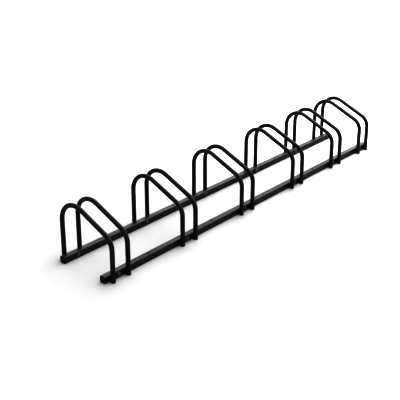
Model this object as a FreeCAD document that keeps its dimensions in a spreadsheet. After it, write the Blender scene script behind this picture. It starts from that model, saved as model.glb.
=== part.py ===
import FreeCAD, Part
import math
import os
import re
import Sketcher

# Floor bike rack for six wheels.
#
# Twelve bent-tube hoops stand in six pairs, and a wheel is pushed in between the two hoops of a
# pair. The legs of a pair are welded to a flat plate at the front and to another at the rear, and
# one bolt through each plate holds the pair to a square rail. The two rails lie on the floor.
#
# Frame: X runs along the rails, -Y is the low front that a wheel comes in from, +Y the tall rear,
# Z is up. The origin is on the floor, in the middle of the rails' length and of the rack's depth.

SIZES = (
    ("hoop_height", 286, "floor to the top of a hoop"),
    ("leg_spread", 310, "front leg to rear leg of a hoop, between centres"),
    ("tube_diameter", 20, "outside of the hoop tube"),
    ("tube_wall", 1.5, "wall of the hoop tube"),
    ("slope_angle", 24, "fall of a hoop's top from rear to front, in degrees"),
    ("rear_bend_radius", 90, "centreline of the bend over the rear leg"),
    ("front_bend_radius", 66, "centreline of the bend over the front leg"),
    ("wheel_gap", 67, "clear width between the two hoops of a pair"),
    ("bay_1", 424, "first pair to second pair, between centres"),
    ("bay_2", 426, "second pair to third pair"),
    ("bay_3", 432, "third pair to fourth pair"),
    ("bay_4", 381, "fourth pair to fifth pair"),
    ("bay_5", 300, "fifth pair to sixth pair"),
    ("rail_side", 30, "outside of the square rail tube"),
    ("rail_wall", 1.5, "wall of the rail tube"),
    ("rail_inner_radius", 2, "inside corner of the rail tube"),
    ("rail_overhang", 77, "centre of an end pair to the end of the rack"),
    ("rail_cap_flange", 3, "thickness of a rail cap outside the tube"),
    ("rail_cap_insert", 18, "depth of a rail cap inside the tube"),
    ("rail_cap_rib", 2, "width of a rib on a rail cap's insert"),
    ("foot_flange_lip", 1, "edge of a foot cap outside its tube"),
    ("foot_flange", 3, "thickness of a foot cap under the tube"),
    ("foot_insert", 14, "depth of a foot cap inside the tube"),
    ("foot_rib", 1.5, "width of a rib on a foot cap's insert"),
    ("cap_wall", 2, "wall of a cap's hollow insert"),
    ("cap_edge", 1, "chamfer round the outside edge of a cap"),
    ("cap_clearance", 0.4, "gap between a cap's insert and the tube's inside"),
    ("rib_clearance", 0.05, "gap between a cap's rib and the tube's inside"),
    ("plate_thickness", 3, "flat plate between a rail and the legs"),
    ("plate_height", 22, "height of a plate"),
    ("weld_angle", 52, "how far round its leg a weld reaches, in degrees"),
    ("weld_toe", 1.7, "outer edge of a weld past the line where it meets the leg"),
    ("weld_margin", 1.5, "end of a weld to the plate's edge"),
    ("bolt_diameter", 8, "bolt shank"),
    ("bolt_head_diameter", 20, "domed bolt head"),
    ("bolt_head_height", 5, "domed bolt head"),
    ("bolt_head_rim", 1, "straight edge round the domed head"),
    ("bolt_neck_step", 0.1, "side of the square neck past the round shank"),
    ("bolt_neck_length", 4.8, "square neck under the head"),
    ("bolt_tip", 4, "thread that stands out of the nut"),
    ("bolt_tip_chamfer", 1, "chamfer at the bolt's end"),
    ("neck_clearance", 0.2, "gap on each side of the square neck"),
    ("hole_clearance", 0.5, "gap round the bolt in a round hole"),
    ("washer_diameter", 16, "outside of a washer"),
    ("washer_thickness", 1.6, "thickness of a washer"),
    ("washer_clearance", 0.2, "gap round the bolt in a washer"),
    ("nut_flats", 13, "across the flats of a nut"),
    ("nut_height", 6.5, "height of a nut"),
    ("nut_chamfer_angle", 30, "chamfer on a nut's corners, in degrees"),
    ("thread_clearance", 0.05, "gap round the bolt in a nut"),
    ("anchor_diameter", 9, "floor screw hole through a rail"),
    ("anchor_offset", 192, "pair centre to the floor screw hole on its right"),
)
BAYS = ("bay_1", "bay_2", "bay_3", "bay_4", "bay_5")
PAIRS = range(1, len(BAYS) + 2)
ANCHOR_PAIRS = (1, 2, 4)

# Lengths that several pieces share, as expressions of the sizes above.
TUBE_RADIUS = "(tube_diameter / 2)"
TUBE_INSIDE = "(tube_diameter / 2 - tube_wall)"
HOOP_SPACING = "(wheel_gap + tube_diameter)"
REAR_BEND_LEVEL = "(hoop_height - tube_diameter / 2 - rear_bend_radius)"
PLATE_FACE = "(leg_spread / 2 - tube_diameter / 2)"
RAIL_FACE = f"({PLATE_FACE} - plate_thickness)"
RAIL_INNER_FACE = f"({RAIL_FACE} - rail_side)"
RAIL_MIDDLE = f"({RAIL_FACE} - rail_side / 2)"
RAIL_LEVEL = "(rail_side / 2)"
RAIL_INSIDE = "(rail_side - 2 * rail_wall)"
RAIL_OUTER_RADIUS = "(rail_inner_radius + rail_wall)"
ROW = "(" + " + ".join(BAYS) + ")"
TUBE_OVERHANG = "(rail_overhang - rail_cap_flange)"
RAIL_TUBE = f"({ROW} + 2 * {TUBE_OVERHANG})"
NECK_SIDE = "(bolt_diameter + 2 * bolt_neck_step)"
NECK_HOLE = f"({NECK_SIDE} + 2 * neck_clearance)"
BOLT_LENGTH = "(plate_thickness + rail_side + washer_thickness + nut_height + bolt_tip)"

ALIASES = {alias for alias, number, note in SIZES}
Z_AXIS = FreeCAD.Vector(0, 0, 1)
FORWARD = FreeCAD.Rotation()
TURNED = FreeCAD.Rotation(Z_AXIS, 180)
BOLTWISE = FreeCAD.Rotation(FreeCAD.Vector(1, 0, 0), -90)
QUARTER_TURN = math.pi / 2

doc = FreeCAD.newDocument("floor_bike_rack")
sheet = doc.addObject("Spreadsheet::Sheet", "Sizes")
for row, (alias, number, note) in enumerate(SIZES, start=1):
    sheet.set(f"A{row}", note)
    sheet.set(f"B{row}", str(number))
    sheet.setAlias(f"B{row}", alias)
doc.recompute()

solids_in_node = {}


# ------------------------------------------------------------ sizes and places

def bound(text):
    """The expression with the name of each size pointed at its cell."""
    return re.sub(r"[a-z]\w*", lambda m: "Sizes." + m[0] if m[0] in ALIASES else m[0], text)


def value(text):
    """The number that the expression gives for the present sizes."""
    return float(sheet.evalExpression(bound(text)))


def point(across, up):
    return FreeCAD.Vector(value(across), value(up), 0)


def place(thing, across, depth, level, turn=FORWARD):
    """Turns the object, and binds its place along X, Y and Z."""
    thing.Placement = FreeCAD.Placement(FreeCAD.Vector(), turn)
    thing.setExpression("Placement.Base.x", bound(across))
    thing.setExpression("Placement.Base.y", bound(depth))
    thing.setExpression("Placement.Base.z", bound(level))


def pair_middle(pair):
    """Place along X of the middle of a pair of hoops. Pairs count from 1, at the left."""
    return " + ".join([f"-{ROW} / 2", *BAYS[: pair - 1]])


def along_rail(pair):
    """Distance from the rail tube's left end to the middle of a pair."""
    return " + ".join([TUBE_OVERHANG, *BAYS[: pair - 1]])


# ------------------------------------------------------------ bodies and sketches

def new_body(label, solids=1):
    """An empty body that becomes a node of its own, or with solids=0 a master for copies."""
    body = doc.addObject("PartDesign::Body", label)
    body.Label = label
    if solids:
        solids_in_node[label] = solids
    return body


def new_sketch(body, role, offset="0"):
    """A sketch on one of the body's origin planes, moved by the offset along the plane's normal."""
    sketch = body.newObject("Sketcher::SketchObject", body.Name + "_sketch")
    plane = next(item for item in body.Origin.OriginFeatures if item.Role == role)
    sketch.AttachmentSupport = (plane, [""])
    sketch.MapMode = "FlatFace"
    sketch.setExpression("AttachmentOffset.Base.z", bound(offset))
    return sketch


def dimension(sketch, kind, elements, text):
    """A dimension of the sketch, bound to the expression."""
    index = sketch.addConstraint(Sketcher.Constraint(kind, *elements, value(text)))
    sketch.setExpression(f"Constraints[{index}]", bound(text))


def fix_point(sketch, geometry, vertex, across, up):
    """Holds one vertex at its two distances from the sketch's origin."""
    dimension(sketch, "DistanceX", (-1, 1, geometry, vertex), across)
    dimension(sketch, "DistanceY", (-1, 1, geometry, vertex), up)


def join(sketch, kind, *ends):
    """Ties vertices to each other, two by two: Coincident or Tangent."""
    sketch.addConstraint(Sketcher.Constraint(kind, *ends))


def add_arc(sketch, centre, radius, first, last):
    """An arc against the clock between two angles in radians."""
    circle = Part.Circle(centre, Z_AXIS, radius)
    return sketch.addGeometry(Part.ArcOfCircle(circle, first, last))


def add_circle(sketch, across, up, radius):
    circle = sketch.addGeometry(Part.Circle(point(across, up), Z_AXIS, value(radius)))
    fix_point(sketch, circle, 3, across, up)
    dimension(sketch, "Radius", (circle,), radius)


def add_outline(sketch, corners):
    """A closed outline of straight edges."""
    points = [point(*corner) for corner in corners]
    edges = [
        sketch.addGeometry(Part.LineSegment(start, end))
        for start, end in zip(points, points[1:] + points[:1])
    ]
    for edge, following in zip(edges, edges[1:] + edges[:1]):
        join(sketch, "Coincident", edge, 2, following, 1)
    for edge, corner in zip(edges, corners):
        fix_point(sketch, edge, 1, *corner)


def add_square(sketch, side, across="0", up="0"):
    left, right = (f"{across} {sign} {side} / 2" for sign in "-+")
    low, high = (f"{up} {sign} {side} / 2" for sign in "-+")
    add_outline(sketch, [(left, low), (right, low), (right, high), (left, high)])


def add_rounded_square(sketch, side, radius):
    """A square round the sketch's origin, with its corners rounded."""
    half = value(f"{side} / 2")
    rounding = value(radius)
    flat = half - rounding
    sides = [((-flat, -half), (flat, -half)), ((half, -flat), (half, flat))]
    sides += [((flat, half), (-flat, half)), ((-half, flat), (-half, -flat))]
    middles = [(-flat, -flat), (flat, -flat), (flat, flat), (-flat, flat)]
    lines, arcs = [], []
    for turn, (start, end) in enumerate(sides):
        edge = Part.LineSegment(FreeCAD.Vector(*start, 0), FreeCAD.Vector(*end, 0))
        lines.append(sketch.addGeometry(edge))
        first = (turn + 2) * QUARTER_TURN
        middle = FreeCAD.Vector(*middles[turn], 0)
        arcs.append(add_arc(sketch, middle, rounding, first, first + QUARTER_TURN))
    for turn, (line, arc) in enumerate(zip(lines, arcs)):
        join(sketch, "Tangent", arc, 2, line, 1)
        join(sketch, "Tangent", line, 2, arcs[(turn + 1) % 4], 1)
        join(sketch, "Vertical" if turn % 2 else "Horizontal", line)
    for arc in arcs[1:]:
        join(sketch, "Equal", arcs[0], arc)
    dimension(sketch, "Radius", (arcs[0],), radius)
    for axis, line, sign in (("Y", 0, "-"), ("X", 1, "+"), ("Y", 2, "+"), ("X", 3, "-")):
        dimension(sketch, "Distance" + axis, (-1, 1, lines[line], 1), f"{sign}{side} / 2")


def shape_by(body, kind, sketch, length=None, reverse=False):
    """Adds a feature made from the sketch: a Pad or Pocket of the bound length, or a Revolution."""
    feature = body.newObject("PartDesign::" + kind, f"{body.Name}_{kind}")
    feature.Profile = sketch
    if kind in ("Revolution", "Groove"):
        feature.ReferenceAxis = (sketch, ["V_Axis"])
        feature.Angle = 360
    else:
        feature.Reversed = reverse
    if length:
        feature.setExpression("Length", bound(length))
    return feature


def cut_through(body, sketch, both_ways=True):
    """Cuts the sketch through all of the body, both ways or only along the plane's normal."""
    pocket = shape_by(body, "Pocket", sketch, reverse=not both_ways)
    pocket.Type = "ThroughAll"
    pocket.Midplane = both_ways


# ------------------------------------------------------------ hoops

def make_hoop(label, across):
    """A tube from the rear foot up, over a wide bend, down a straight slope to the front foot."""
    body = new_body(label)
    half_spread = value("leg_spread / 2")
    foot = value("foot_flange")
    fall = math.radians(value("slope_angle"))
    rear_radius = value("rear_bend_radius")
    front_radius = value("front_bend_radius")
    rear_centre = point("leg_spread / 2 - rear_bend_radius", REAR_BEND_LEVEL)
    outward = FreeCAD.Vector(-math.sin(fall), math.cos(fall), 0)
    slope_height = rear_centre.dot(outward) + rear_radius - front_radius
    front_y = front_radius - half_spread
    front_z = (slope_height - front_y * outward.x) / outward.y
    front_centre = FreeCAD.Vector(front_y, front_z, 0)

    path = new_sketch(body, "YZ_Plane")
    rear_leg = path.addGeometry(Part.LineSegment(
        FreeCAD.Vector(half_spread, foot, 0),
        FreeCAD.Vector(half_spread, rear_centre.y, 0),
    ))
    rear_bend = add_arc(path, rear_centre, rear_radius, 0, QUARTER_TURN + fall)
    slope = path.addGeometry(Part.LineSegment(
        front_centre + outward * front_radius,
        rear_centre + outward * rear_radius,
    ))
    front_bend = add_arc(path, front_centre, front_radius, QUARTER_TURN + fall, math.pi)
    front_leg = path.addGeometry(Part.LineSegment(
        FreeCAD.Vector(-half_spread, front_z, 0),
        FreeCAD.Vector(-half_spread, foot, 0),
    ))
    join(path, "Tangent", rear_leg, 2, rear_bend, 1)
    join(path, "Tangent", rear_bend, 2, slope, 2)
    join(path, "Tangent", slope, 1, front_bend, 1)
    join(path, "Tangent", front_bend, 2, front_leg, 1)
    join(path, "Vertical", rear_leg)
    join(path, "Vertical", front_leg)
    fix_point(path, rear_leg, 1, "leg_spread / 2", "foot_flange")
    fix_point(path, front_leg, 2, "-leg_spread / 2", "foot_flange")
    dimension(path, "DistanceY", (-1, 1, rear_bend, 3), REAR_BEND_LEVEL)
    dimension(path, "Radius", (rear_bend,), "rear_bend_radius")
    dimension(path, "Radius", (front_bend,), "front_bend_radius")
    dimension(path, "Angle", (slope,), "slope_angle")

    ring = new_sketch(body, "XY_Plane", "foot_flange")
    add_circle(ring, "0", "leg_spread / 2", TUBE_RADIUS)
    add_circle(ring, "0", "leg_spread / 2", TUBE_INSIDE)
    tube = body.newObject("PartDesign::AdditivePipe", label + "_tube")
    tube.Profile = ring
    tube.Spine = path
    place(body, across, "0", "0")


def make_foot_cap(label, across, depth):
    """A plug under a leg: a round flange on the floor, and a ribbed hollow insert in the tube."""
    body = new_body(label)
    flange = f"{TUBE_RADIUS} + foot_flange_lip"
    outside = f"{TUBE_INSIDE} - cap_clearance"
    inside = f"{outside} - cap_wall"
    rib = f"{TUBE_INSIDE} - rib_clearance"
    top = "foot_flange + foot_insert"
    profile = [
        ("0", "0"),
        (f"{flange} - cap_edge", "0"),
        (flange, "cap_edge"),
        (flange, "foot_flange"),
        (outside, "foot_flange"),
    ]
    for share in ("1 / 3", "2 / 3"):
        rib_start = f"foot_flange + foot_insert * {share}"
        rib_end = f"{rib_start} + foot_rib"
        profile += [(outside, rib_start), (rib, rib_start), (rib, rib_end), (outside, rib_end)]
    profile += [
        (outside, f"{top} - cap_edge"),
        (f"{outside} - cap_edge", top),
        (inside, top),
        (inside, "foot_flange"),
        ("0", "foot_flange"),
    ]
    sketch = new_sketch(body, "XZ_Plane")
    add_outline(sketch, profile)
    shape_by(body, "Revolution", sketch)
    place(body, across, depth, "0")


# ------------------------------------------------------------ plates

def make_plate(label, pair, depth, turn, square_hole):
    """A flat bar with a bolt hole in its middle and the welds that hold two legs to its face.

    The back of the plate is at local Y = 0, against the rail, and its face at -plate_thickness.
    """
    body = new_body(label)
    flat = new_sketch(body, "XZ_Plane")
    half_length = f"({HOOP_SPACING} / 2 + {TUBE_RADIUS})"
    add_outline(flat, [
        (f"-{half_length}", "-plate_height / 2"),
        (half_length, "-plate_height / 2"),
        (half_length, "plate_height / 2"),
        (f"-{half_length}", "plate_height / 2"),
    ])
    shape_by(body, "Pad", flat, "plate_thickness")

    # each weld is a three-cornered bar that touches the leg along the end of its slope
    welds = new_sketch(body, "XY_Plane")
    face = "-plate_thickness"
    for leg in (f"-{HOOP_SPACING} / 2", f"{HOOP_SPACING} / 2"):
        for side in "-+":
            root = (f"{leg} {side} {TUBE_RADIUS} * tan(weld_angle / 2)", face)
            crest = (
                f"{leg} {side} {TUBE_RADIUS} * sin(weld_angle)",
                f"{face} - {TUBE_RADIUS} * (1 - cos(weld_angle))",
            )
            toe = (f"{crest[0]} {side} weld_toe", face)
            add_outline(welds, [root, toe, crest])
    beads = shape_by(body, "Pad", welds, "plate_height - 2 * weld_margin")
    beads.Midplane = True

    hole = new_sketch(body, "XZ_Plane")
    if square_hole:
        add_square(hole, NECK_HOLE)
    else:
        add_circle(hole, "0", "0", "bolt_diameter / 2 + hole_clearance")
    cut_through(body, hole)
    place(body, pair_middle(pair), depth, RAIL_LEVEL, turn)


# ------------------------------------------------------------ rails

def make_rail(label, depth):
    """A square tube on the floor, with the holes for six bolts and for the floor screws."""
    body = new_body(label)
    section = new_sketch(body, "YZ_Plane")
    add_rounded_square(section, "rail_side", RAIL_OUTER_RADIUS)
    add_rounded_square(section, RAIL_INSIDE, "rail_inner_radius")
    shape_by(body, "Pad", section, RAIL_TUBE)

    bolt_holes = new_sketch(body, "XZ_Plane")
    neck_holes = new_sketch(body, "XZ_Plane")
    for pair in PAIRS:
        add_circle(bolt_holes, along_rail(pair), "0", "bolt_diameter / 2 + hole_clearance")
        add_square(neck_holes, NECK_HOLE, along_rail(pair))
    cut_through(body, bolt_holes)
    cut_through(body, neck_holes, both_ways=False)

    anchor_holes = new_sketch(body, "XY_Plane")
    for pair in ANCHOR_PAIRS:
        along = f"{along_rail(pair)} + anchor_offset"
        add_circle(anchor_holes, along, "0", "anchor_diameter / 2")
    cut_through(body, anchor_holes)
    place(body, f"-{RAIL_TUBE} / 2", depth, RAIL_LEVEL)


def make_rail_cap(label, across, depth, turn):
    """A plug in a rail's end: a square flange outside, and a ribbed hollow insert inside.

    The tube's end is at local X = 0, and the insert runs along +X.
    """
    body = new_body(label)
    flange = new_sketch(body, "YZ_Plane")
    add_rounded_square(flange, "rail_side", RAIL_OUTER_RADIUS)
    outer = shape_by(body, "Pad", flange, "rail_cap_flange", reverse=True)

    outside = f"({RAIL_INSIDE} - 2 * cap_clearance)"
    hollow = f"({RAIL_INSIDE} - 2 * cap_clearance - 2 * cap_wall)"
    insert = new_sketch(body, "YZ_Plane")
    add_rounded_square(insert, outside, "rail_inner_radius")
    add_square(insert, hollow)
    shape_by(body, "Pad", insert, "rail_cap_insert")
    for share in ("1 / 4", "5 / 8"):
        rib = new_sketch(body, "YZ_Plane", f"rail_cap_insert * {share}")
        add_rounded_square(rib, f"({RAIL_INSIDE} - 2 * rib_clearance)", "rail_inner_radius")
        add_square(rib, hollow)
        last = shape_by(body, "Pad", rib, "rail_cap_rib")

    doc.recompute()
    end = min(corner.X for corner in last.Shape.Vertexes)
    rim = [
        f"Edge{number}"
        for number, edge in enumerate(last.Shape.Edges, start=1)
        if abs(edge.BoundBox.XMax - end) < outer.Length.Value / 10
    ]
    chamfer = body.newObject("PartDesign::Chamfer", label + "_chamfer")
    chamfer.Base = (last, rim)
    chamfer.setExpression("Size", bound("cap_edge"))
    place(body, across, depth, RAIL_LEVEL, turn)


# ------------------------------------------------------------ bolts, washers and nuts

def make_bolt():
    """A bolt with a domed head and a square neck. Its head stands on local Z = 0, tip up."""
    body = new_body("bolt", solids=0)
    head = "(bolt_head_diameter / 2)"
    rise = "(bolt_head_height - bolt_head_rim)"
    dome_radius = value(f"({head} ^ 2 + {rise} ^ 2) / (2 * {rise})")
    dome_centre = FreeCAD.Vector(0, dome_radius - value("bolt_head_height"), 0)
    rim = point(head, "-bolt_head_rim") - dome_centre
    sketch = new_sketch(body, "XZ_Plane")
    dome = add_arc(sketch, dome_centre, dome_radius, -QUARTER_TURN, math.atan2(rim.y, rim.x))
    corners = [
        (head, "-bolt_head_rim"),
        (head, "0"),
        ("bolt_diameter / 2", "0"),
        ("bolt_diameter / 2", f"{BOLT_LENGTH} - bolt_tip_chamfer"),
        ("bolt_diameter / 2 - bolt_tip_chamfer", BOLT_LENGTH),
        ("0", BOLT_LENGTH),
        ("0", "-bolt_head_height"),
    ]
    edges = [
        sketch.addGeometry(Part.LineSegment(point(*start), point(*end)))
        for start, end in zip(corners, corners[1:])
    ]
    for edge, following in zip([dome, *edges], [*edges, dome]):
        join(sketch, "Coincident", edge, 2, following, 1)
    for edge, corner in zip(edges, corners):
        fix_point(sketch, edge, 1, *corner)
    fix_point(sketch, dome, 1, *corners[-1])
    dimension(sketch, "DistanceX", (-1, 1, dome, 3), "0")
    shape_by(body, "Revolution", sketch)

    neck = new_sketch(body, "XY_Plane")
    add_square(neck, NECK_SIDE)
    shape_by(body, "Pad", neck, "bolt_neck_length")
    return body


def make_washer():
    """A flat ring on local Z = 0."""
    body = new_body("washer", solids=0)
    ring = new_sketch(body, "XY_Plane")
    add_circle(ring, "0", "0", "washer_diameter / 2")
    add_circle(ring, "0", "0", "bolt_diameter / 2 + washer_clearance")
    shape_by(body, "Pad", ring, "washer_thickness")
    return body


def make_nut():
    """A hexagon nut on local Z = 0, with the corners of both faces chamfered."""
    body = new_body("nut", solids=0)
    hexagon = new_sketch(body, "XY_Plane")
    corner_radius = "nut_flats / sqrt(3)"
    add_outline(hexagon, [
        (f"{corner_radius} * cos({angle})", f"{corner_radius} * sin({angle})")
        for angle in range(0, 360, 60)
    ])
    add_circle(hexagon, "0", "0", "bolt_diameter / 2 + thread_clearance")
    shape_by(body, "Pad", hexagon, "nut_height")

    corners = new_sketch(body, "XZ_Plane")
    wedge = "nut_flats / 2 * tan(nut_chamfer_angle)"
    add_outline(corners, [("nut_flats / 2", "0"), ("nut_flats", "0"), ("nut_flats", wedge)])
    add_outline(corners, [
        ("nut_flats / 2", "nut_height"),
        ("nut_flats", f"nut_height - {wedge}"),
        ("nut_flats", "nut_height"),
    ])
    shape_by(body, "Groove", corners)
    return body


def make_row(label, master, depth):
    """One copy of the master for each pair, all pointing to the rear, as one node."""
    copies = []
    for pair in PAIRS:
        copy = doc.addObject("App::Link", f"{label}_{pair}")
        copy.LinkedObject = master
        place(copy, pair_middle(pair), depth, RAIL_LEVEL, BOLTWISE)
        copies.append(copy)
    group = doc.addObject("Part::Compound", label)
    group.Label = label
    group.Links = copies
    solids_in_node[label] = len(copies)


# ------------------------------------------------------------ the rack

for pair in PAIRS:
    for side, sign in (("left", "-"), ("right", "+")):
        across = f"{pair_middle(pair)} {sign} {HOOP_SPACING} / 2"
        make_hoop(f"hoop_{pair}_{side}", across)
        make_foot_cap(f"foot_cap_{pair}_{side}_front", across, "-leg_spread / 2")
        make_foot_cap(f"foot_cap_{pair}_{side}_rear", across, "leg_spread / 2")
    make_plate(f"front_plate_{pair}", pair, f"-{RAIL_FACE}", FORWARD, square_hole=True)
    make_plate(f"rear_plate_{pair}", pair, RAIL_FACE, TURNED, square_hole=False)

for rail, sign in (("front_rail", "-"), ("rear_rail", "")):
    make_rail(rail, sign + RAIL_MIDDLE)
    make_rail_cap(rail + "_cap_left", f"-{RAIL_TUBE} / 2", sign + RAIL_MIDDLE, FORWARD)
    make_rail_cap(rail + "_cap_right", f"{RAIL_TUBE} / 2", sign + RAIL_MIDDLE, TURNED)

bolt, washer, nut = make_bolt(), make_washer(), make_nut()
front_bearing = f"-{RAIL_INNER_FACE}"
rear_bearing = PLATE_FACE
make_row("front_bolts", bolt, f"-{PLATE_FACE}")
make_row("rear_bolts", bolt, RAIL_INNER_FACE)
for end, bearing in (("front", front_bearing), ("rear", rear_bearing)):
    make_row(f"{end}_washers", washer, bearing)
    make_row(f"{end}_nuts", nut, f"{bearing} + washer_thickness")
doc.recompute()


# ------------------------------------------------------------ checks and files

for thing in doc.Objects:
    if "Invalid" in thing.State or "Error" in thing.State:
        raise RuntimeError(f"{thing.Label} failed: {thing.State}")
    if thing.TypeId in ("PartDesign::Pocket", "PartDesign::Groove"):
        if thing.Shape.Volume > thing.BaseFeature.Shape.Volume - 1:
            raise RuntimeError(f"{thing.Label} cuts nothing")

os.makedirs("parts", exist_ok=True)
for label, solids in solids_in_node.items():
    shape = doc.getObjectsByLabel(label)[0].Shape
    if shape.isNull() or not shape.isValid() or len(shape.Solids) != solids:
        raise RuntimeError(f"{label} has no sound shape")
    shape.exportStep(f"parts/{label}.step")
print(f"{len(solids_in_node)} nodes")
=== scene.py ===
import math

import bmesh
import bpy
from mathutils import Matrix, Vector


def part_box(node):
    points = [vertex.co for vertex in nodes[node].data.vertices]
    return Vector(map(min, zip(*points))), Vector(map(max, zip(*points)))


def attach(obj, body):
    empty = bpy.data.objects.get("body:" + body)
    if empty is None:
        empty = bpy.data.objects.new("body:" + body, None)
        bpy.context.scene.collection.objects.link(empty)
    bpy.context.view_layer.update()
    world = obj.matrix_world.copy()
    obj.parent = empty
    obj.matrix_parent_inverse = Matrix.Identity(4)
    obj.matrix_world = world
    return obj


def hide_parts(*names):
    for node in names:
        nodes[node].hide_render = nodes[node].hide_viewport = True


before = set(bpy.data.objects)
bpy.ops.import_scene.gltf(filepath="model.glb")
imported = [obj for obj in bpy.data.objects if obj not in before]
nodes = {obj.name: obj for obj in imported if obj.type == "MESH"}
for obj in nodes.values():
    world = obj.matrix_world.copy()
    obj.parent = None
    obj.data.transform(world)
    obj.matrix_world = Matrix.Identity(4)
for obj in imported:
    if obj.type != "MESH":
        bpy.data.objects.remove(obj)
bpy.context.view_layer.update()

# Floor bike rack: finishes, welds, bolts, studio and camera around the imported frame, in metres.
# X runs along the rails, -Y is the low front, Z is up, and the floor is at Z = 0.

MM = 0.001


# ------------------------------------------------------------ material helpers

def new_material(name, metallic=0.0, specular=0.5):
    """A material with a Principled shader, whose plain numbers are set on its own sockets."""
    material = bpy.data.materials.new(name)
    material.use_nodes = True
    shader = material.node_tree.nodes["Principled BSDF"]
    shader.inputs["Metallic"].default_value = metallic
    shader.inputs["Specular IOR Level"].default_value = specular
    return material


def add_node(material, kind, **settings):
    node = material.node_tree.nodes.new("ShaderNode" + kind)
    for name, setting in settings.items():
        setattr(node, name, setting)
    return node


def link(material, start, end):
    material.node_tree.links.new(start, end)


def place_output(material):
    """The surface point in the rack's frame, in metres."""
    found = material.node_tree.nodes.get("Place")
    if found is None:
        found = add_node(material, "TexCoord", name="Place")
    return found.outputs["Object"]


def noise(material, size, detail=3.0, stretch=(1, 1, 1), roughness=0.5):
    """Noise from 0 to 1, whose blotches are about the given size across."""
    mapping = add_node(material, "Mapping")
    mapping.inputs["Scale"].default_value = [part / size for part in stretch]
    link(material, place_output(material), mapping.inputs["Vector"])
    texture = add_node(material, "TexNoise")
    texture.inputs["Scale"].default_value = 1.0
    texture.inputs["Detail"].default_value = detail
    texture.inputs["Roughness"].default_value = roughness
    link(material, mapping.outputs["Vector"], texture.inputs["Vector"])
    return texture.outputs["Fac"]


def remap(material, value, low, high, start=0.0, end=1.0):
    """The value taken from the range low to high into the range start to end, and held there."""
    node = add_node(material, "MapRange")
    for socket, number in (("From Min", low), ("From Max", high), ("To Min", start), ("To Max", end)):
        node.inputs[socket].default_value = number
    link(material, value, node.inputs["Value"])
    return node.outputs["Result"]


def combine(material, operation, first, second):
    """A Math node on two values or numbers."""
    node = add_node(material, "Math", operation=operation)
    for socket, value in zip(node.inputs, (first, second)):
        if isinstance(value, (int, float)):
            socket.default_value = value
        else:
            link(material, value, socket)
    return node.outputs["Value"]


def colour_mix(material, factor, first, second):
    """Blends two colours, or a colour socket and a colour, by the factor."""
    node = add_node(material, "Mix", data_type="RGBA")
    link(material, factor, node.inputs["Factor"])
    for socket, colour in ((node.inputs[6], first), (node.inputs[7], second)):
        if isinstance(colour, (tuple, list)):
            socket.default_value = (*colour, 1.0)
        else:
            link(material, colour, socket)
    return node.outputs[2]


def add_bump(material, height, depth, strength=1.0, under=None):
    """A bump of the given depth in metres, on top of another bump if one is given."""
    node = add_node(material, "Bump")
    node.inputs["Strength"].default_value = strength
    node.inputs["Distance"].default_value = depth
    link(material, height, node.inputs["Height"])
    if under is not None:
        link(material, under, node.inputs["Normal"])
    return node.outputs["Normal"]


def finish_with(material, **sockets):
    """Links the outputs to the Principled shader's sockets of those names."""
    shader = material.node_tree.nodes["Principled BSDF"]
    for name, output in sockets.items():
        link(material, output, shader.inputs[name.replace("_", " ")])


def upward(material):
    """1 on faces that look up, 0 on upright and lower ones."""
    geometry = add_node(material, "NewGeometry")
    parts = add_node(material, "SeparateXYZ")
    link(material, geometry.outputs["Normal"], parts.inputs["Vector"])
    return remap(material, parts.outputs["Z"], 0.55, 0.95)


# ------------------------------------------------------------ materials

COAT_DARK = (0.006, 0.006, 0.0062)
COAT_LIGHT = (0.012, 0.012, 0.0124)
COAT_WORN = (0.05, 0.05, 0.051)
DUST = (0.16, 0.155, 0.145)
PLASTIC_DARK = (0.008, 0.008, 0.0083)
PLASTIC_LIGHT = (0.016, 0.016, 0.0164)
PLASTIC_WORN = (0.04, 0.04, 0.041)
COAT_ROUGHNESS = 0.39
HOOP_SPECULAR = 0.45
RAIL_SPECULAR = 0.7
PLASTIC_SPECULAR = 0.4
STEEL_METALLIC = 0.8
STEEL_SPECULAR = 0.4

COAT_BLOTCH = 60 * MM
COAT_FINE = 4 * MM
COAT_SCUFF = 2.5 * MM
COAT_PEEL = 1.6 * MM
COAT_EDGE = 0.8 * MM
DRAWN_LINE = 1.2 * MM
PLASTIC_BLOTCH = 12 * MM
PLASTIC_GRAIN = 0.5 * MM
PLASTIC_EDGE = 0.4 * MM
STEEL_BLOTCH = 5 * MM
STEEL_MARK = 0.6 * MM
STEEL_RING = 0.3 * MM
STEEL_EDGE = 0.3 * MM
WELD_BLOTCH = 8 * MM
WELD_GRIT = 0.8 * MM


def worn_edges(material, radius):
    """(normal softened over the edges, 1 at a sharp edge and 0 on open faces)."""
    soft = add_node(material, "Bevel", samples=4)
    soft.inputs["Radius"].default_value = radius
    sharp = add_node(material, "NewGeometry")
    agree = add_node(material, "VectorMath", operation="DOT_PRODUCT")
    link(material, soft.outputs["Normal"], agree.inputs[0])
    link(material, sharp.outputs["Normal"], agree.inputs[1])
    return soft.outputs["Normal"], remap(material, agree.outputs["Value"], 0.8, 0.99, 1.0, 0.0)


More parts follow.
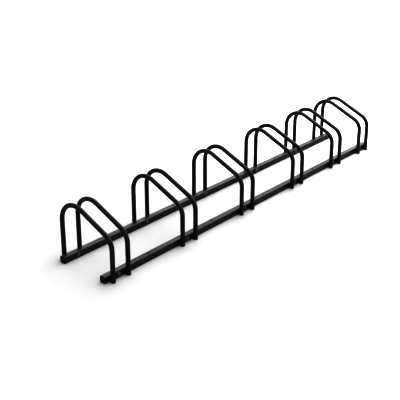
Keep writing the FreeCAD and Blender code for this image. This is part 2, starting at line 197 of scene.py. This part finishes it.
def powder_coat(name, specular, drawn=False):
    """Satin black powder coat with orange peel, uneven gloss, light scuffs, rubbed edges and dust."""
    material = new_material(name, specular=specular)
    blotches = noise(material, COAT_BLOTCH, detail=4.0)
    fine = noise(material, COAT_FINE, detail=2.0)
    dusty = remap(material, blotches, 0.42, 0.72, 0.0, 0.14)
    dust = combine(material, "MULTIPLY", upward(material), dusty)
    streaks = noise(material, COAT_SCUFF, detail=3.0, stretch=(1, 1, 0.12))
    scuffs = remap(material, streaks, 0.66, 0.74, 0.0, 0.3)
    scuffs = combine(material, "MULTIPLY", scuffs, remap(material, blotches, 0.5, 0.6))
    soft_normal, edges = worn_edges(material, COAT_EDGE)
    edges = combine(material, "MULTIPLY", edges, remap(material, fine, 0.45, 0.65, 0.0, 0.6))
    wear = combine(material, "MAXIMUM", scuffs, edges)
    base = colour_mix(material, remap(material, blotches, 0.3, 0.7), COAT_DARK, COAT_LIGHT)
    colour = colour_mix(material, dust, colour_mix(material, wear, base, COAT_WORN), DUST)
    gloss = remap(material, blotches, 0.3, 0.7, COAT_ROUGHNESS - 0.04, COAT_ROUGHNESS + 0.04)
    gloss = combine(material, "ADD", gloss, remap(material, fine, 0.3, 0.7, -0.02, 0.03))
    gloss = combine(material, "ADD", gloss, combine(material, "MULTIPLY", wear, 0.15))
    gloss = combine(material, "ADD", gloss, dust)
    peel = noise(material, COAT_PEEL, detail=2.0, roughness=0.4)
    normal = add_bump(material, peel, 0.05 * MM, 0.5, soft_normal)
    if drawn:
        lines = noise(material, DRAWN_LINE, detail=1.0, stretch=(0.01, 1, 1))
        normal = add_bump(material, lines, 0.02 * MM, 0.4, normal)
    finish_with(material, Base_Color=colour, Roughness=gloss, Normal=normal)
    return material


def black_plastic(name):
    """Moulded black plastic with a fine grain, dulled patches and rubbed edges."""
    material = new_material(name, specular=PLASTIC_SPECULAR)
    blotches = noise(material, PLASTIC_BLOTCH, detail=4.0)
    soft_normal, edges = worn_edges(material, PLASTIC_EDGE)
    edges = combine(material, "MULTIPLY", edges, remap(material, blotches, 0.4, 0.6, 0.1, 0.5))
    base = colour_mix(material, remap(material, blotches, 0.35, 0.7), PLASTIC_DARK, PLASTIC_LIGHT)
    colour = colour_mix(material, edges, base, PLASTIC_WORN)
    gloss = remap(material, blotches, 0.3, 0.7, 0.45, 0.58)
    gloss = combine(material, "ADD", gloss, combine(material, "MULTIPLY", edges, 0.1))
    grain = noise(material, PLASTIC_GRAIN, detail=1.0)
    normal = add_bump(material, grain, 0.03 * MM, 0.6, soft_normal)
    finish_with(material, Base_Color=colour, Roughness=gloss, Normal=normal)
    return material


def black_steel(name, dark, light, turned=False):
    """Black-finished steel: darker and duller patches over a metal sheen, and brighter rubbed edges."""
    material = new_material(name, metallic=STEEL_METALLIC, specular=STEEL_SPECULAR)
    blotches = noise(material, STEEL_BLOTCH, detail=4.0)
    soft_normal, edges = worn_edges(material, STEEL_EDGE)
    edges = combine(material, "MULTIPLY", edges, remap(material, blotches, 0.4, 0.6, 0.1, 0.6))
    base = colour_mix(material, remap(material, blotches, 0.35, 0.7), dark, light)
    colour = colour_mix(material, edges, base, [1.8 * part for part in light])
    gloss = remap(material, blotches, 0.3, 0.7, 0.28, 0.42)
    marks = noise(material, STEEL_MARK, detail=2.0)
    normal = add_bump(material, marks, 0.02 * MM, 0.5, soft_normal)
    if turned:
        rings = noise(material, STEEL_RING, detail=1.0, stretch=(1, 0.02, 1))
        normal = add_bump(material, rings, 0.01 * MM, 0.4, normal)
    finish_with(material, Base_Color=colour, Roughness=gloss, Normal=normal)
    return material


def weld_metal(name):
    """A coated weld: the same satin coat over a coarser, spattered surface."""
    material = new_material(name, specular=HOOP_SPECULAR)
    blotches = noise(material, WELD_BLOTCH, detail=4.0)
    grit = noise(material, WELD_GRIT, detail=4.0)
    colour = colour_mix(material, remap(material, blotches, 0.35, 0.65), COAT_DARK, COAT_LIGHT)
    colour = colour_mix(material, remap(material, grit, 0.62, 0.75, 0.0, 0.5), colour, COAT_WORN)
    gloss = remap(material, blotches, 0.3, 0.7, 0.36, 0.5)
    normal = add_bump(material, grit, 0.08 * MM, 0.6)
    finish_with(material, Base_Color=colour, Roughness=gloss, Normal=normal)
    return material


hoop_coat = powder_coat("hoop_powder_coat", HOOP_SPECULAR)
plate_coat = powder_coat("plate_powder_coat", HOOP_SPECULAR)
rail_coat = powder_coat("rail_powder_coat", RAIL_SPECULAR, drawn=True)
weld_coat = weld_metal("weld_powder_coat")
cap_plastic = black_plastic("cap_plastic")
bolt_steel = black_steel("bolt_black_steel", (0.1, 0.1, 0.102), (0.19, 0.19, 0.194), turned=True)
washer_steel = black_steel("washer_black_steel", (0.1, 0.1, 0.102), (0.18, 0.18, 0.184), turned=True)
nut_steel = black_steel("nut_black_steel", (0.09, 0.09, 0.092), (0.18, 0.18, 0.184))

# The first start that a node's name has decides its finish.
FINISHES = (
    ("hoop_", hoop_coat),
    ("foot_cap_", cap_plastic),
    ("front_plate_", plate_coat),
    ("rear_plate_", plate_coat),
    ("front_rail_cap_", cap_plastic),
    ("rear_rail_cap_", cap_plastic),
    ("front_rail", rail_coat),
    ("rear_rail", rail_coat),
    ("front_bolts", bolt_steel),
    ("rear_bolts", bolt_steel),
    ("front_washers", washer_steel),
    ("rear_washers", washer_steel),
    ("front_nuts", nut_steel),
    ("rear_nuts", nut_steel),
)
for name, thing in nodes.items():
    finish = next(material for start, material in FINISHES if name.startswith(start))
    thing.data.materials.clear()
    thing.data.materials.append(finish)


# ------------------------------------------------------------ measures taken from the frame

PAIRS = range(1, 7)
hoop_low, hoop_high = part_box("hoop_1_left")
TUBE_RADIUS = (hoop_high.x - hoop_low.x) / 2
PLATE_FACE = hoop_high.y - 2 * TUBE_RADIUS


def middle_x(node):
    low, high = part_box(node)
    return (low.x + high.x) / 2


def new_piece(name, bm, material):
    """Turns the bmesh into a smooth piece of the rack, parented to the root body."""
    mesh = bpy.data.meshes.new(name)
    bmesh.ops.recalc_face_normals(bm, faces=bm.faces)
    bm.to_mesh(mesh)
    bm.free()
    mesh.materials.append(material)
    mesh.shade_smooth()
    piece = bpy.data.objects.new(name, mesh)
    bpy.context.scene.collection.objects.link(piece)
    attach(piece, "root")
    return piece


def bridge(bm, rings, closed=True):
    """Quads between neighbouring rings of vertices."""
    for first, second in zip(rings, rings[1:]):
        count = len(first)
        for i in range(count if closed else count - 1):
            j = (i + 1) % count
            bm.faces.new((first[i], first[j], second[j], second[i]))


# ------------------------------------------------------------ weld beads

WELD_ANGLE = math.radians(52)
WELD_TOE = 1.7 * MM
WELD_MARGIN = 1.5 * MM
BEAD_RIPPLE_PITCH = 1.5 * MM
BEAD_HEIGHT = 0.55 * MM
BEAD_BACK = 0.9 * MM
BEAD_ROWS_PER_RIPPLE = 6
BEAD_COLUMNS = 7


def add_bead(bm, leg_x, side, face_y, outward, z_low, z_high, start):
    """A rippled bead in the corner between a leg and its plate, over the plain one of the frame."""
    crest = Vector((side * TUBE_RADIUS * math.sin(WELD_ANGLE), TUBE_RADIUS * (1 - math.cos(WELD_ANGLE))))
    toe = Vector((crest.x + side * WELD_TOE, 0))
    chord = toe - crest
    proud = Vector((-chord.y * side, chord.x * side)).normalized()
    rows = round((z_high - z_low) / BEAD_RIPPLE_PITCH * BEAD_ROWS_PER_RIPPLE)
    rings = []
    for row in range(rows + 1):
        along = row / rows * (z_high - z_low)
        fade = math.sqrt(min(1, min(along, z_high - z_low - along) / BEAD_RIPPLE_PITCH))
        ring = []
        for column in range(BEAD_COLUMNS + 1):
            across = column / BEAD_COLUMNS
            crown = math.sin(math.pi * across)
            phase = along / BEAD_RIPPLE_PITCH + start - 0.7 * crown
            swell = 0.72 + 0.28 * math.cos(2 * math.pi * phase)
            spot = crest + chord * across + proud * (BEAD_HEIGHT * crown * swell * fade - 0.02 * MM)
            ring.append(spot)
        ring.append((crest + toe) / 2 - proud * BEAD_BACK)
        rings.append([
            bm.verts.new((leg_x + spot.x, face_y + outward * spot.y, z_low + along)) for spot in ring
        ])
    bridge(bm, rings)
    bm.faces.new(rings[0])
    bm.faces.new(rings[-1])


for pair in PAIRS:
    for end, outward in (("front", -1), ("rear", 1)):
        plate_low, plate_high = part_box(f"{end}_plate_{pair}")
        bm = bmesh.new()
        for leg_number, leg in enumerate(("left", "right")):
            leg_x = middle_x(f"hoop_{pair}_{leg}")
            for side in (-1, 1):
                add_bead(
                    bm, leg_x, side, outward * PLATE_FACE, outward,
                    plate_low.z + WELD_MARGIN, plate_high.z - WELD_MARGIN,
                    start=0.37 * (pair + leg_number) + 0.21 * side,
                )
        new_piece(f"{end}_weld_beads_{pair}", bm, weld_coat)


# ------------------------------------------------------------ bolts

BOLT_RADIUS = 4 * MM
BOLT_HEAD_RADIUS = 10 * MM
BOLT_HEAD_HEIGHT = 5 * MM
BOLT_HEAD_RIM = 1 * MM
BOLT_NECK_SIDE = 8.2 * MM
BOLT_NECK_LENGTH = 4.8 * MM
BOLT_TIP_CHAMFER = 1 * MM
THREAD_PITCH = 1.25 * MM
THREAD_DEPTH = 0.68 * MM
THREAD_RUN_IN = 0.6 * MM
ROUND_STEPS = 48
ROWS_PER_TURN = 10


def head_rows():
    """(distance from the top of the head, radius) down the dome and round its rim."""
    dome = BOLT_HEAD_HEIGHT - BOLT_HEAD_RIM
    sphere = (BOLT_HEAD_RADIUS ** 2 + dome ** 2) / (2 * dome)
    reach = math.asin(BOLT_HEAD_RADIUS / sphere)
    rows = []
    for step in range(1, 11):
        angle = reach * step / 10
        trim = 0.12 * MM if step == 10 else 0
        rows.append((sphere * (1 - math.cos(angle)), sphere * math.sin(angle) - trim))
    rows.append((dome + 0.15 * MM, BOLT_HEAD_RADIUS))
    rows.append((BOLT_HEAD_HEIGHT - 0.15 * MM, BOLT_HEAD_RADIUS))
    rows.append((BOLT_HEAD_HEIGHT, BOLT_HEAD_RADIUS - 0.15 * MM))
    return rows


def add_bolt(bm, x, top_y, tip_y, z, thread_from):
    """A round-headed bolt along Y, with a square neck and a cut thread from thread_from to its tip."""
    length = tip_y - top_y

    def ring(away, radii):
        return [
            bm.verts.new((
                x + radius * math.cos(2 * math.pi * step / ROUND_STEPS),
                top_y + away,
                z + radius * math.sin(2 * math.pi * step / ROUND_STEPS),
            ))
            for step, radius in enumerate(radii)
        ]

    def square(half_side):
        turns = [2 * math.pi * step / ROUND_STEPS for step in range(ROUND_STEPS)]
        return [half_side / max(abs(math.cos(turn)), abs(math.sin(turn))) for turn in turns]

    rings = [ring(away, [radius] * ROUND_STEPS) for away, radius in head_rows()]
    neck_end = BOLT_HEAD_HEIGHT + BOLT_NECK_LENGTH
    rings.append(ring(BOLT_HEAD_HEIGHT, square(BOLT_NECK_SIDE / 2)))
    rings.append(ring(neck_end, square(BOLT_NECK_SIDE / 2)))
    rings.append(ring(neck_end + 0.05 * MM, [BOLT_RADIUS] * ROUND_STEPS))
    rows = math.ceil((length - thread_from) / THREAD_PITCH * ROWS_PER_TURN)
    for row in range(rows + 1):
        away = thread_from + (length - thread_from) * row / rows
        run_in = min(1, (away - thread_from) / THREAD_RUN_IN)
        limit = BOLT_RADIUS - max(0, away - (length - BOLT_TIP_CHAMFER))
        radii = []
        for step in range(ROUND_STEPS):
            phase = (away / THREAD_PITCH - step / ROUND_STEPS) % 1
            groove = THREAD_DEPTH * max(0, 1 - abs(phase - 0.5) / 0.44) * run_in
            radii.append(min(limit, BOLT_RADIUS - groove))
        rings.append(ring(away, radii))
    bridge(bm, rings)
    for edge_ring, away in ((rings[0], 0), (rings[-1], length)):
        hub = bm.verts.new((x, top_y + away, z))
        for first, second in zip(edge_ring, edge_ring[1:] + edge_ring[:1]):
            bm.faces.new((first, second, hub))


for end in ("front", "rear"):
    bolts_low, bolts_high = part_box(f"{end}_bolts")
    nuts_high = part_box(f"{end}_nuts")[1]
    bm = bmesh.new()
    for pair in PAIRS:
        add_bolt(
            bm, middle_x(f"{end}_plate_{pair}"), bolts_low.y, bolts_high.y,
            (bolts_low.z + bolts_high.z) / 2,
            thread_from=nuts_high.y - 2 * THREAD_PITCH - bolts_low.y,
        )
    threaded = new_piece(f"{end}_threaded_bolts", bm, bolt_steel)
    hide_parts(f"{end}_bolts")


# ------------------------------------------------------------ studio

FLOOR_SIZE = 60
FLOOR_SHADE = 0.467
FLOOR_UNEVENNESS = 0.01
WORLD_STRENGTH = 1.0

# Name, azimuth, elevation and spread in degrees, and strength.
SUNS = (
    ("key", 108, 38, 110, 4.4),
    ("fill", -20, 55, 60, 1.2),
)
SUN_STAND = (0, 0, 3)

# Name, place, what it points at, length, width and watts.
SOFTBOXES = (
    ("high_softbox", (1.5, 0.15, 1.3), (1.5, 0.15, 0), 2.0, 0.6, 32),
    ("low_softbox", (2.2, 0.1, 0.9), (0.9, 0, 0.2), 0.8, 0.8, 5),
)

floor_mesh = bpy.data.meshes.new("floor")
half = FLOOR_SIZE / 2
floor_corners = [(-half, -half, 0), (half, -half, 0), (half, half, 0), (-half, half, 0)]
floor_mesh.from_pydata(floor_corners, [], [(0, 1, 2, 3)])
floor = bpy.data.objects.new("floor", floor_mesh)
bpy.context.scene.collection.objects.link(floor)
floor_paint = new_material("floor_paint", specular=0.0)
floor_shade = noise(floor_paint, 0.9, detail=2.0)
floor_colour = colour_mix(
    floor_paint, floor_shade, [FLOOR_SHADE - FLOOR_UNEVENNESS] * 3, [FLOOR_SHADE + FLOOR_UNEVENNESS] * 3
)
finish_with(floor_paint, Base_Color=floor_colour)
floor_mesh.materials.append(floor_paint)

world = bpy.data.worlds.new("studio")
world.use_nodes = True
world.node_tree.nodes["Background"].inputs["Color"].default_value = (1, 1, 1, 1)
world.node_tree.nodes["Background"].inputs["Strength"].default_value = WORLD_STRENGTH
bpy.context.scene.world = world


def direction(azimuth, elevation):
    """Unit vector towards a place in the sky. Azimuth 0 is towards -Y and 90 towards +X."""
    a, e = math.radians(azimuth), math.radians(elevation)
    return Vector((math.sin(a) * math.cos(e), -math.cos(a) * math.cos(e), math.sin(e)))


def stand(name, thing, place, behind):
    """Puts a light or camera at the place, looking away from the direction behind it."""
    held = bpy.data.objects.new(name, thing)
    held.location = place
    held.rotation_mode = "QUATERNION"
    held.rotation_quaternion = Vector(behind).to_track_quat("Z", "Y")
    bpy.context.scene.collection.objects.link(held)
    return held


for name, azimuth, elevation, spread, strength in SUNS:
    sun = bpy.data.lights.new(name, "SUN")
    sun.energy = strength
    sun.angle = math.radians(spread)
    stand(name, sun, SUN_STAND, direction(azimuth, elevation))

for name, place, aim, length, width, watts in SOFTBOXES:
    softbox = bpy.data.lights.new(name, "AREA")
    softbox.shape = "RECTANGLE"
    softbox.size = length
    softbox.size_y = width
    softbox.energy = watts
    softbox_stand = stand(name, softbox, place, Vector(place) - Vector(aim))
    softbox_stand.visible_camera = False

bpy.context.scene.view_settings.view_transform = "Raw"


# ------------------------------------------------------------ camera

CAMERA_AZIMUTH = -48.926
CAMERA_ELEVATION = 18.534
CAMERA_PLACE = (-2.8987, -2.2603, 1.6404)
FOCAL_PIXELS = 772.74
IMAGE_PIXELS = 400
AXIS_ABOVE_MIDDLE = 80

camera = bpy.data.cameras.new("camera")
camera.sensor_width = 36
camera.lens = camera.sensor_width * FOCAL_PIXELS / IMAGE_PIXELS
camera.shift_y = -AXIS_ABOVE_MIDDLE / IMAGE_PIXELS
camera.clip_start = 0.05
camera.clip_end = 200
camera_stand = stand("camera", camera, CAMERA_PLACE, direction(CAMERA_AZIMUTH, CAMERA_ELEVATION))
bpy.context.scene.camera = camera_stand
